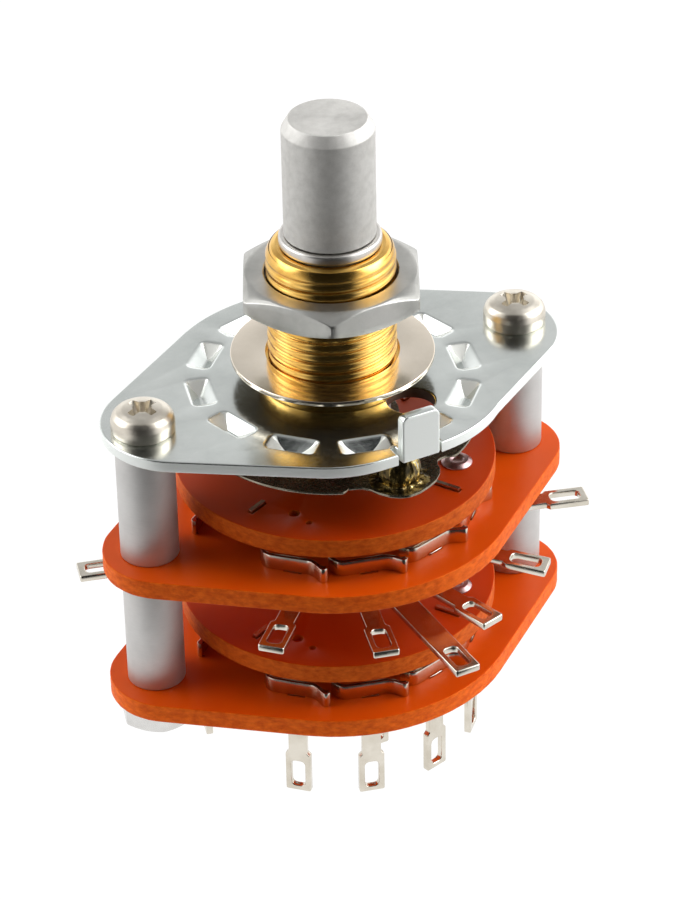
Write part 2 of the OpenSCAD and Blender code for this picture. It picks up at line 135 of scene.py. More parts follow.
class Shape:
    """Vertices and faces of one piece, in mm."""

    def __init__(self):
        self.v, self.f = [], []

    def ring(self, pts):
        s = len(self.v)
        self.v.extend(pts)
        return list(range(s, s + len(pts)))

    def bridge(self, a, b, closed=True):
        n = len(a)
        for i in range(n if closed else n - 1):
            j = (i + 1) % n
            self.f.append((a[i], a[j], b[j], b[i]))

    def cap(self, loops, ties=(), flip=False):
        """Triangles over flat loops of vertex numbers: the first is the outside, the others are holes."""
        idx, edges = [], []
        for loop in loops:
            s = len(idx)
            idx.extend(loop)
            edges.extend((s + k, s + (k + 1) % len(loop)) for k in range(len(loop)))
        back = {v: k for k, v in enumerate(idx)}
        edges.extend((back[a], back[b]) for a, b in ties)
        flat = [Vector((self.v[i][0], self.v[i][1])) for i in idx]
        vs, _, tris, orig, _, _ = delaunay_2d_cdt(flat, edges, [], 0, 1e-9, True)
        rings = [[(self.v[i][0], self.v[i][1]) for i in loop] for loop in loops]
        names = {}
        for t in tris:
            cx = sum(vs[k].x for k in t) / 3
            cy = sum(vs[k].y for k in t) / 3
            if sum(inside((cx, cy), r) for r in rings) % 2 == 0 or not inside((cx, cy), rings[0]):
                continue
            ids = []
            for k in t:
                if orig[k]:
                    ids.append(idx[orig[k][0]])
                else:
                    if k not in names:
                        names[k] = len(self.v)
                        self.v.append((vs[k].x, vs[k].y, self.v[idx[0]][2]))
                    ids.append(names[k])
            if len(set(ids)) == 3:
                self.f.append(tuple(ids[::-1] if flip else ids))

    def lathe(self, prof, seg=128, c=(0, 0), open_ends=False):
        """Turn a closed profile of (r, z) about the vertical through c."""
        cols = []
        for r, z in prof:
            if r < 1e-6:
                cols.append(self.ring([(c[0], c[1], z)]) * seg)
            else:
                cols.append(self.ring([(c[0] + r * math.cos(2 * PI * k / seg), c[1] + r * math.sin(2 * PI * k / seg), z) for k in range(seg)]))
        n = len(cols)
        for i in range(n - 1 if open_ends else n):
            a, b = cols[i], cols[(i + 1) % n]
            for k in range(seg):
                q = []
                for x in (a[k], a[(k + 1) % seg], b[(k + 1) % seg], b[k]):
                    if x not in q:
                        q.append(x)
                if len(q) > 2:
                    self.f.append(tuple(q))

    def slab(self, outer, holes, z0, z1, b=0.06, seg=3, top=(), bottom=(), ties=(), rough=None):
        """Flat plate between z0 and z1 with rounded edges. top and bottom are loops left open in one face."""
        prof = [(b + 0.04, z1)]
        for k in range(seg + 1):
            w = PI / 2 * k / seg
            prof.append((b - b * math.sin(w), z1 - b + b * math.cos(w)))
        mid = []
        if rough:
            for k in range(1, rough[1]):
                mid.append((0.0, z1 - b + (z0 - z1 + 2 * b) * k / rough[1]))
        prof += mid
        for k in range(seg + 1):
            w = PI / 2 * k / seg
            prof.append((b - b * math.cos(w), z0 + b - b * math.sin(w)))
        prof.append((b + 0.04, z0))
        tops, bots = [], []
        for li, loop in enumerate([outer] + list(holes)):
            sign = 1 if li == 0 else -1
            cols = []
            for d, z in prof:
                o = offset(loop, sign * d) if d else loop
                cols.append(self.ring([(p[0], p[1], z) for p in o]))
            if rough:
                # a worn edge: the wall's rows wander in and out a little
                for ci in range(2, len(cols) - 2):
                    for k, vi in enumerate(cols[ci]):
                        p = self.v[vi]
                        w = rough[0] * noise(p[0] * 2.1, p[1] * 2.1, p[2] * 2.4)
                        r = math.hypot(p[0], p[1]) or 1
                        w = -abs(w) if li == 0 else abs(w)
                        self.v[vi] = (p[0] + p[0] / r * w, p[1] + p[1] / r * w, p[2])
            for a, c in zip(cols, cols[1:]):
                self.bridge(a, c) if li else self.bridge(c, a)
            tops.append(cols[0])
            bots.append(cols[-1])
        t_open = [self.ring([(p[0], p[1], z1) for p in loop]) for loop in top]
        b_open = [self.ring([(p[0], p[1], z0) for p in loop]) for loop in bottom]
        self.cap(tops + t_open, [(tops[0][a], tops[0][c]) for a, c in ties])
        self.cap(bots + b_open, [(bots[0][a], bots[0][c]) for a, c in ties], flip=True)
        return t_open, b_open

    def move(self, fn, start=0):
        for i in range(start, len(self.v)):
            self.v[i] = fn(*self.v[i])

    def turned(self, deg, start=0):
        c, s = math.cos(math.radians(deg)), math.sin(math.radians(deg))
        self.move(lambda x, y, z: (x * c - y * s, x * s + y * c, z), start)

    def build(self, name, mat, body, sharp=40, stands_for=(), slot=None):
        bm = bmesh.new()
        vs = [bm.verts.new((x * MM, y * MM, z * MM)) for x, y, z in self.v]
        for f in self.f:
            if len(set(f)) > 2:
                try:
                    bm.faces.new([vs[i] for i in f])
                except ValueError:
                    pass
        bmesh.ops.remove_doubles(bm, verts=bm.verts, dist=2e-7)
        bmesh.ops.recalc_face_normals(bm, faces=bm.faces)
        for f in bm.faces:
            f.smooth = True
        me = bpy.data.meshes.new(name)
        bm.to_mesh(me)
        bm.free()
        me.set_sharp_from_angle(angle=math.radians(sharp))
        ob = bpy.data.objects.new(name, me)
        COL.objects.link(ob)
        me.materials.append(mat)
        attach(ob, body)
        for n in stands_for:
            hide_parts(n)
        return ob


def noise(x, y, z):
    """Smooth, seedless noise in -1..1 from a few sines."""
    return (math.sin(3.1 * x + 1.7 * y + 0.3) + math.sin(-2.3 * x + 3.9 * y + 2.1 * z + 1.1)
            + math.sin(5.3 * x - 4.1 * y + 3.7 * z + 4.2) + math.sin(7.9 * y + 6.1 * x - 5.0 * z)) / 4


# ---------------------------------------------------------------- materials
def new_mat(name):
    m = bpy.data.materials.new(name)
    m.use_nodes = True
    nt = m.node_tree
    return m, nt, nt.nodes["Principled BSDF"]


def coords(nt, scale=(1, 1, 1)):
    tc = nt.nodes.new("ShaderNodeTexCoord")
    mp = nt.nodes.new("ShaderNodeMapping")
    mp.inputs["Scale"].default_value = scale
    nt.links.new(tc.outputs["Object"], mp.inputs["Vector"])
    return mp.outputs["Vector"]


def noise_node(nt, vec, scale, detail=3.0, rough=0.5):
    n = nt.nodes.new("ShaderNodeTexNoise")
    n.inputs["Scale"].default_value = scale
    n.inputs["Detail"].default_value = detail
    n.inputs["Roughness"].default_value = rough
    nt.links.new(vec, n.inputs["Vector"])
    return n.outputs["Fac"]


def ramp(nt, fac, stops):
    r = nt.nodes.new("ShaderNodeValToRGB")
    e = r.color_ramp.elements
    e[0].position, e[0].color = stops[0][0], stops[0][1]
    e[1].position, e[1].color = stops[-1][0], stops[-1][1]
    for pos, c in stops[1:-1]:
        x = e.new(pos)
        x.color = c
    nt.links.new(fac, r.inputs["Fac"])
    return r.outputs["Color"]


def grey(v): return (v, v, v, 1)


def bump(nt, bsdf, height, strength, dist):
    b = nt.nodes.new("ShaderNodeBump")
    b.inputs["Strength"].default_value = strength
    b.inputs["Distance"].default_value = dist
    nt.links.new(height, b.inputs["Height"])
    nt.links.new(b.outputs["Normal"], bsdf.inputs["Normal"])
    return b


def metal(name, base, dark, rough, spread, scale=500, grain=None, aniso=0.0, detail=4.0, side=None, bump_amt=0.12, bump_dist=0.00001):
    """Metal whose colour and gloss wander between two values. grain is the scale of a fine second noise."""
    m, nt, b = new_mat(name)
    v = coords(nt)
    n1 = noise_node(nt, v, scale, detail, 0.55)
    nt.links.new(ramp(nt, n1, [(0.30, (*dark, 1)), (0.62, (*base, 1))]), b.inputs["Base Color"])
    b.inputs["Metallic"].default_value = 1.0
    g = grain or (scale * 6, (1, 1, 1))
    v2 = coords(nt, g[1])
    n2 = noise_node(nt, v2, g[0], 3.0, 0.6)
    gloss = ramp(nt, n2, [(0.3, grey(max(0.02, rough - spread))), (0.7, grey(rough + spread))])
    if side is None:
        nt.links.new(gloss, b.inputs["Roughness"])
    else:
        # sheared edges and the underside are duller than the face
        geo, sep = nt.nodes.new("ShaderNodeNewGeometry"), nt.nodes.new("ShaderNodeSeparateXYZ")
        nt.links.new(geo.outputs["Normal"], sep.inputs["Vector"])
        up = ramp(nt, sep.outputs["Z"], [(0.2, grey(0)), (0.55, grey(1))])
        mx = nt.nodes.new("ShaderNodeMix")
        mx.data_type = "FLOAT"
        nt.links.new(up, mx.inputs["Factor"])
        mx.inputs["A"].default_value = side
        nt.links.new(gloss, mx.inputs["B"])
        nt.links.new(mx.outputs["Result"], b.inputs["Roughness"])
    if aniso:
        b.inputs["Anisotropic"].default_value = aniso
        t = nt.nodes.new("ShaderNodeTangent")
        t.direction_type, t.axis = "RADIAL", "Z"
        nt.links.new(t.outputs["Tangent"], b.inputs["Tangent"])
    bump(nt, b, n2, bump_amt, bump_dist)
    return m


M_SHAFT = metal("shaft_steel", (0.67, 0.66, 0.635), (0.59, 0.58, 0.555), 0.61, 0.06, 1600, (9000, (1, 1, 1)), aniso=0.3, bump_amt=0.4)
M_RING = metal("ring_steel", (0.66, 0.64, 0.61), (0.56, 0.54, 0.51), 0.33, 0.05, 900)
M_BRASS = metal("turned_brass", (0.80, 0.50, 0.14), (0.68, 0.375, 0.075), 0.19, 0.03, 700, (3000, (1, 1, 2.5)), bump_amt=0.05)
M_WASHER = metal("washer_nickel", (0.80, 0.72, 0.61), (0.75, 0.67, 0.56), 0.15, 0.04, 350, (2500, (1, 1, 1)), bump_amt=0.1)
M_NUT = metal("nut_zinc", (0.50, 0.495, 0.47), (0.36, 0.36, 0.34), 0.38, 0.07, 300, (4000, (1, 1, 1)), bump_amt=0.3)
M_PLATE = metal("plate_zinc", (0.70, 0.73, 0.71), (0.62, 0.655, 0.635), 0.19, 0.05, 260, (3000, (1, 1, 1)), side=0.4, bump_amt=0.15)


def plate_details(mat):
    """Painted highlight on the pit end walls (a pale base, less metallic and duller), pale sheared edges, and painted
    shade on the wall of the round hole (dark brown).
    """
    nt = mat.node_tree
    b = nt.nodes["Principled BSDF"]
    geo, tc = nt.nodes.new("ShaderNodeNewGeometry"), nt.nodes.new("ShaderNodeTexCoord")
    nor, pos = geo.outputs["Normal"], tc.outputs["Object"]

    def vec(op, a, c, out="Vector"):
        n = nt.nodes.new("ShaderNodeVectorMath")
        n.operation = op
        for k, x in enumerate((a, c)):
            if isinstance(x, tuple):
                n.inputs[k].default_value = x
            elif x is not None:
                nt.links.new(x, n.inputs[k])
        return n.outputs[out]

    def mth(op, a, c=None):
        n = nt.nodes.new("ShaderNodeMath")
        n.operation = op
        for k, x in enumerate((a, c)):
            if isinstance(x, (int, float)):
                n.inputs[k].default_value = x
            elif x is not None:
                nt.links.new(x, n.inputs[k])
        return n.outputs[0]

    def stp(x, lo, hi):
        n = nt.nodes.new("ShaderNodeMapRange")
        n.interpolation_type = "SMOOTHSTEP"
        n.inputs["From Min"].default_value, n.inputs["From Max"].default_value = lo, hi
        n.inputs["To Min"].default_value, n.inputs["To Max"].default_value = (0, 1) if hi > lo else (0, 1)
        nt.links.new(x, n.inputs["Value"])
        return n.outputs["Result"]

    def mix(kind, fac, a, c, dest):
        n = nt.nodes.new("ShaderNodeMix")
        n.data_type = kind
        nt.links.new(fac, n.inputs["Factor"])
        for key, x in (("A", a), ("B", c)):
            if isinstance(x, (int, float, tuple)):
                n.inputs[key].default_value = x
            else:
                nt.links.new(x, n.inputs[key])
        nt.links.new(n.outputs["Result"], dest)

    sep = nt.nodes.new("ShaderNodeSeparateXYZ")
    nt.links.new(pos, sep.inputs["Vector"])
    sn = nt.nodes.new("ShaderNodeSeparateXYZ")
    nt.links.new(nor, sn.inputs["Vector"])
    flat = vec("MULTIPLY", pos, (1, 1, 0))
    rad = vec("LENGTH", flat, None, "Value")
    tangent = vec("NORMALIZE", vec("CROSS_PRODUCT", (0, 0, 1), flat), None)
    lean = mth("ABSOLUTE", vec("DOT_PRODUCT", nor, tangent, "Value"))
    inner = mth("MULTIPLY", mth("GREATER_THAN", rad, 0.0083), mth("LESS_THAN", rad, 0.0106))
    low = mth("SUBTRACT", 1.0, stp(sep.outputs["Z"], -0.00216, -0.00207))
    # painted highlight: the end walls of the pits get a pale, near-white base, less metal and more roughness
    pit_end_highlight = mth("MULTIPLY", mth("MULTIPLY", stp(lean, 0.14, 0.24), low), mth("MULTIPLY", inner, mth("GREATER_THAN", sn.outputs["Z"], 0.3)))
    # painted shade: the wall of the round hole near (3, -5.75) is given a dark brown base
    near = mth("LESS_THAN", vec("DISTANCE", flat, (0.003, -0.00575, 0), "Value"), 0.00176)
    wall = mth("MULTIPLY", near, mth("LESS_THAN", mth("ABSOLUTE", sn.outputs["Z"]), 0.6))
    edge = mth("SUBTRACT", 1.0, stp(sn.outputs["Z"], 0.2, 0.6))
    base = b.inputs["Base Color"].links[0].from_socket
    mix("RGBA", edge, base, (0.88, 0.91, 0.88, 1), b.inputs["Base Color"])
    base = b.inputs["Base Color"].links[0].from_socket
    # the painted highlight on the pit end walls
    mix("RGBA", pit_end_highlight, base, (0.97, 0.98, 0.93, 1), b.inputs["Base Color"])
    base = b.inputs["Base Color"].links[0].from_socket
    # the painted shade on the wall of the round hole
    mix("RGBA", wall, base, (0.09, 0.05, 0.03, 1), b.inputs["Base Color"])
    mix("FLOAT", edge, 1.0, 0.35, b.inputs["Metallic"])
    part = b.inputs["Metallic"].links[0].from_socket
    mix("FLOAT", pit_end_highlight, part, 0.75, b.inputs["Metallic"])
    rough = b.inputs["Roughness"].links[0].from_socket
    mix("FLOAT", pit_end_highlight, rough, 0.36, b.inputs["Roughness"])


plate_details(M_PLATE)


def painted_shade_under(mat, colour, rough):
    """Painted shade on the downward faces: a dark base colour and a duller finish."""
    nt = mat.node_tree
    b = nt.nodes["Principled BSDF"]
    geo, sep = nt.nodes.new("ShaderNodeNewGeometry"), nt.nodes.new("ShaderNodeSeparateXYZ")
    nt.links.new(geo.outputs["Normal"], sep.inputs["Vector"])
    n = nt.nodes.new("ShaderNodeMath")
    n.operation = "LESS_THAN"
    nt.links.new(sep.outputs["Z"], n.inputs[0])
    n.inputs[1].default_value = -0.6
    for kind, key, val in (("RGBA", "Base Color", colour), ("FLOAT", "Roughness", rough)):
        old = b.inputs[key].links[0].from_socket
        m = nt.nodes.new("ShaderNodeMix")
        m.data_type = kind
        nt.links.new(n.outputs[0], m.inputs["Factor"])
        nt.links.new(old, m.inputs["A"])
        m.inputs["B"].default_value = val
        nt.links.new(m.outputs["Result"], b.inputs[key])


# painted shade under the washer (near black) and under the plate (grey-brown)
painted_shade_under(M_WASHER, (0.10, 0.08, 0.05, 1), 0.5)
painted_shade_under(M_PLATE, (0.30, 0.28, 0.22, 1), 0.5)
M_LEAF = metal("leaf_steel", (0.36, 0.33, 0.26), (0.16, 0.14, 0.10), 0.26, 0.07, 700)
M_BALL = metal("ball_steel", (0.70, 0.70, 0.71), (0.55, 0.52, 0.46), 0.10, 0.04, 600)
M_SPACER = metal("spacer_aluminium", (0.66, 0.65, 0.635), (0.61, 0.60, 0.585), 0.60, 0.05, 500, (1500, (1, 1, 8)), aniso=0.3, bump_amt=0.08)
M_SCREW = metal("screw_nickel", (0.72, 0.675, 0.59), (0.60, 0.55, 0.47), 0.33, 0.04, 700, bump_amt=0.03)
M_TIN = metal("contact_tin", (0.72, 0.675, 0.59), (0.60, 0.55, 0.46), 0.18, 0.05, 650, (2600, (1, 1, 1)), bump_amt=0.15)
M_RIVET = metal("rivet_copper", (0.56, 0.40, 0.40), (0.42, 0.28, 0.29), 0.32, 0.06, 800)
M_SCREWNUT = metal("screw_nut_nickel", (0.72, 0.71, 0.69), (0.62, 0.61, 0.59), 0.28, 0.06, 600)


def laminate(name, face, face2, edge, edge2):
    """Phenolic laminate: glossy faces, and a paler punched edge with crumbly layers."""
    m, nt, b = new_mat(name)
    geo = nt.nodes.new("ShaderNodeNewGeometry")
    sep = nt.nodes.new("ShaderNodeSeparateXYZ")
    nt.links.new(geo.outputs["Normal"], sep.inputs["Vector"])
    ab = nt.nodes.new("ShaderNodeMath")
    ab.operation = "ABSOLUTE"
    nt.links.new(sep.outputs["Z"], ab.inputs[0])
    side = ramp(nt, ab.outputs[0], [(0.55, grey(1)), (0.93, grey(0))])
    v = coords(nt)
    n1 = noise_node(nt, v, 180, 3, 0.5)
    top = ramp(nt, n1, [(0.3, (*face2, 1)), (0.7, (*face, 1))])
    v2 = coords(nt, (1, 1, 1.9))
    n2 = noise_node(nt, v2, 1500, 5, 0.65)
    rim = ramp(nt, n2, [(0.34, (*edge2, 1)), (0.50, (*[(p + q) / 2 for p, q in zip(edge, edge2)], 1)), (0.66, (*edge, 1))])
    mix = nt.nodes.new("ShaderNodeMix")
    mix.data_type = "RGBA"
    nt.links.new(side, mix.inputs["Factor"])
    nt.links.new(top, mix.inputs["A"])
    nt.links.new(rim, mix.inputs["B"])
    nt.links.new(mix.outputs["Result"], b.inputs["Base Color"])
    rg = nt.nodes.new("ShaderNodeMix")
    rg.data_type = "FLOAT"
    nt.links.new(side, rg.inputs["Factor"])
    rg.inputs["A"].default_value = 0.33
    rg.inputs["B"].default_value = 0.62
    nt.links.new(rg.outputs["Result"], b.inputs["Roughness"])
    b.inputs["Specular IOR Level"].default_value = 0.3
    b.inputs["Specular Tint"].default_value = (1.0, 0.42, 0.08, 1)
    b.inputs["Subsurface Weight"].default_value = 0.12
    b.inputs["Subsurface Radius"].default_value = (1.0, 0.25, 0.05)
    b.inputs["Subsurface Scale"].default_value = 0.0008
    hm = nt.nodes.new("ShaderNodeMath")
    hm.operation = "MULTIPLY"
    nt.links.new(side, hm.inputs[0])
    nt.links.new(n2, hm.inputs[1])
    bump(nt, b, hm.outputs[0], 0.55, 0.00008)
    return m


M_STATOR = laminate("stator_laminate", (0.73, 0.082, 0.0015), (0.67, 0.069, 0.001), (0.86, 0.15, 0.010), (0.60, 0.072, 0.003))
M_ROTOR = laminate("rotor_laminate", (0.56, 0.046, 0.001), (0.50, 0.038, 0.001), (0.66, 0.12, 0.010), (0.44, 0.056, 0.003))


def grease_mat():
    """Thick dark grease with metal dust in it."""
    m, nt, b = new_mat("grease")
    v = coords(nt, (1, 1, 0.45))
    n = noise_node(nt, v, 1500, 4, 0.65)
    nt.links.new(ramp(nt, n, [(0.40, (0.030, 0.022, 0.008, 1)), (0.52, (0.16, 0.11, 0.035, 1)), (0.60, (0.62, 0.46, 0.16, 1)), (0.72, (0.90, 0.80, 0.50, 1))]), b.inputs["Base Color"])
    b.inputs["Roughness"].default_value = 0.22
    b.inputs["Metallic"].default_value = 0.8
    b.inputs["Specular IOR Level"].default_value = 0.6
    bump(nt, b, n, 0.8, 0.00008)
    return m


M_GREASE = grease_mat()

# ---------------------------------------------------------------- shaft line
s = Shape()
s.lathe(fillet([(0, 18.0), (1.6, 18.0), (2.7, 18.0), (3.175, 17.2), (3.175, 9.3), (2.7, 9.3), (2.7, BUSH_H + 0.01), (3.175, BUSH_H + 0.01), (3.175, -3.5), (4, -3.5), (4, -5.3), (0, -5.3)],
               [0, 0, 0.16, 0.25, 0.06, 0, 0, 0.0, 0, 0.08, 0.08, 0], 6), 192)
tail = [p for p in arc(3.175, -math.degrees(math.asin(1.9 / 3.175)), math.degrees(math.asin(1.9 / 3.175)), 6)]
tail = tail + [(-x, -y) for x, y in tail]
for z0, z1, k in ((-20.4, -5.0, 1.0), (-20.9, -20.4, 0.882), (-23.6, -20.9, 1.0)):
    loop = [(x * k, max(-1.9, min(1.9, y))) for x, y in tail]
    s.slab(loop, [], z0, z1, 0.06 if z0 < -23 else 0.02)
s.build("shaft_body", M_SHAFT, "rotor", 35, ["shaft"], "shaft")

# Retaining ring: a split ring of round-edged section
s = Shape()
a0, a1 = 60 + 11.5, 60 + 360 - 11.5
out_l = arc(3.55, a0 - 1.5, a1 + 1.5, 2.5) + arc(2.75, a1, a0, 4)
s.slab(fillet(out_l, 0.0), [], 8.48, 9.23, 0.22, 6)
s.build("ring_body", M_RING, "rotor", 50, ["retaining_ring"], "ring")

# ---------------------------------------------------------------- bushing
PITCH, THREAD_R = 0.794, 4.5


def bushing():
    s = Shape()
    # smooth parts: bore, flange, neck and stake
    h = BUSH_H
    s.lathe(fillet([(3.22, h - 0.25), (3.47, h), (3.78, h), (4.08, h - 0.11), (4.22, h - 0.31), (4.02, h - 0.36), (4.02, -0.3), (5.2, -0.35), (5.2, PLATE_TOP), (4.0, PLATE_TOP), (4.0, PLATE_BOT), (4.5, PLATE_BOT), (4.25, PLATE_BOT - 0.4), (3.22, PLATE_BOT - 0.4)],
                   [0, 0.05, 0.2, 0.2, 0, 0, 0, 0.08, 0.08, 0, 0, 0.05, 0.08, 0.04], 4), 160)
    # thread: rows follow the helix, and are clamped between its two ends
    seg, per = 160, 12
    z_lo, z_hi = -0.34, h - 0.28
    depth = [0.15 * (0.5 - 0.5 * math.cos(2 * PI * (k - 3) / 12)) ** 1.3 for k in range(12)]
    turns = int((z_hi - z_lo) / PITCH) + 3
    rows = turns * per
    phase = 0.05
    grid = []
    for i in range(rows + 1):
        row = []
        for k in range(seg + 1):
            th = 2 * PI * k / seg
            z = z_lo + (i / per - 1.5 + phase + k / seg) * PITCH
            zc = max(z_lo, min(z_hi, z))
            d = depth[i % per]
            if zc < z_lo + 0.25:
                d = max(d, 0.30 * (1 - (zc - z_lo) / 0.25))
            # chamfer at the mouth
            r = min(THREAD_R - d, THREAD_R - 0.26 * (max(0.0, zc - (h - 0.9)) / 0.62) ** 1.6)
            row.append((r * math.cos(th), r * math.sin(th), zc))
        grid.append(s.ring(row))
    for i in range(rows):
        for k in range(seg):
            s.f.append((grid[i][k], grid[i][k + 1], grid[i + 1][k + 1], grid[i + 1][k]))
    return s


bushing().build("bushing_body", M_BRASS, "frame", 60, ["bushing"], "brass")

# ---------------------------------------------------------------- washer
s = Shape()
s.lathe(fillet([(4.65, 0), (7.1, 0), (7.1, -0.35), (4.65, -0.35)], [0.05, 0.08, 0.05, 0.05], 5), 192)
s.build("washer_body", M_WASHER, "frame", 50, ["flat_washer"], "washer")


# ---------------------------------------------------------------- hex nuts
def hex_nut(name, c, af, z0, z1, turn, bore, cham, body, mat, node, slot, csk=0.35, round_r=0.25, both=True, drop=0.577):
    """Hexagon with turned chamfers and rounded corners, bored through."""
    s = Shape()
    seg = 180
    apo = af / 2

    def hex_r(th, inset=0.0):
        a = (th - math.radians(turn)) % (PI / 3) - PI / 6
        r = (apo - inset) / math.cos(a)
        # soften the corner
        lim = (apo - inset) / math.cos(PI / 6) - round_r * 0.155
        k = 0.05
        return -k * math.log(math.exp(-r / k) + math.exp(-lim / k)) if r > lim - 0.4 else r

    def face_z(r, up):
        d = max(0.0, r - (apo - cham)) * drop
        return z1 - d if up else z0 + (d if both else 0.0)

    rings = []
    b = 0.05
    r_in = bore + csk
    prof = [(bore, z0 + csk * 0.8), (r_in, z0)]

    def radial(fr):
        return fr
    # bottom face outwards, wall up, top face inwards
    rows = []
    rows.append([(bore, z1 - csk * 0.8)] * seg)
    rows.append([(r_in, z1)] * seg)
    for t in (0.15, 0.5, 0.8, 1.0):
        rows.append([(r_in + (apo - cham - r_in) * t, z1)] * seg)
    def ring_r(k, inset):
        # never back inside the start of the chamfer
        return max(hex_r(2 * PI * k / seg, inset), apo - cham + min(0.03, cham * 0.3) * (1.2 - inset))

    for inset, dz in ((0.25, 0), (0.12, 0), (b, 0), (b * 0.3, -b * 0.25), (0.0, -b)):
        rows.append([(ring_r(k, inset), face_z(ring_r(k, inset), True) + dz) for k in range(seg)])
    for t in (0.25, 0.5, 0.75):
        rows.append([(hex_r(2 * PI * k / seg), None, t) for k in range(seg)])
    for inset, dz in ((0.0, b), (b * 0.3, b * 0.25), (b, 0), (0.12, 0), (0.25, 0)):
        rows.append([(ring_r(k, inset), face_z(ring_r(k, inset), False) + dz) for k in range(seg)])
    for t in (1.0, 0.8, 0.5, 0.15):
        rows.append([(r_in + (apo - cham - r_in) * t, z0)] * seg)
    rows.append([(r_in, z0)] * seg)
    rows.append([(bore, z0 + csk * 0.8)] * seg)
    cols = []
    for row in rows:
        pts = []
        for k in range(seg):
            th = 2 * PI * k / seg
            q = row[k]
            if len(q) == 3:
                za, zb = face_z(q[0], True) - b, face_z(q[0], False) + b
                r, z = q[0], za + (zb - za) * q[2]
            else:
                r, z = q
            pts.append((c[0] + r * math.cos(th), c[1] + r * math.sin(th), z))
        cols.append(s.ring(pts))
    for a, d in zip(cols, cols[1:] + cols[:1]):
        s.bridge(a, d)
    return s.build(name, mat, body, 34, [node], slot)


hex_nut("nut_body", (0, 0), 12.0, 4.35, 6.35, 2.6, 4.6, 0.1, "mounting_nut", M_NUT, "mounting_nut", "nut", csk=0.09, round_r=0.07)


# ---------------------------------------------------------------- plate
def ear_outline(r, er, ex, step=2.0):
    """Anticlockwise outline: round middle and two rounded ears, starting at the right tangent point."""
    a = math.degrees(math.acos((r - er) / ex))
    out = arc(r, a, 180 - a, step) + arc(er, 180 - a, 180 + a, 5, (-ex, 0)) + arc(r, 180 + a, 360 - a, step) + arc(er, -a, a, 5, (ex, 0))
    return out


def pit_loop(l, w, rc, n=5):
    q = fillet([(-l / 2, -w / 2), (l / 2, -w / 2), (l / 2, w / 2), (-l / 2, w / 2)], rc, n)
    return q


def hip_rings(s, mouth_ids, shape, place, z, d, up):
    """Join a mouth loop to a ridge through rounded slopes."""
    ts = [0.05, 0.10, 0.16, 0.24, 0.36, 0.5, 0.64, 0.78, 0.88, 0.95, 1.0]

    def f(t):
        # slope that eases in at the lip and out at the floor
        a, b = 0.28, 0.03
        k = 1 / (1 - a / 2 - b / 2)
        if t < a:
            return k * t * t / (2 * a)
        if t < 1 - b:
            return k * (t - a / 2)
        u = 1 - t
        return 1 - k * u * u / (2 * b)
    prev = mouth_ids
    for t in ts:
        pts = []
        m, g = shape
        # the corners sharpen with depth, which leaves crisp hips between the walls
        for x, y in pit_loop(m[0] * (1 - t) + g[0] * t, m[1] * (1 - t) + g[1] * t, max(0.02, m[2] * (1 - t) ** 3)):
            p = place(x, y)
            pts.append((p[0], p[1], z - up * d * f(t)))
        cur = s.ring(pts)
        s.bridge(prev, cur) if up > 0 else s.bridge(cur, prev)
        prev = cur
    s.cap([prev], flip=up < 0)


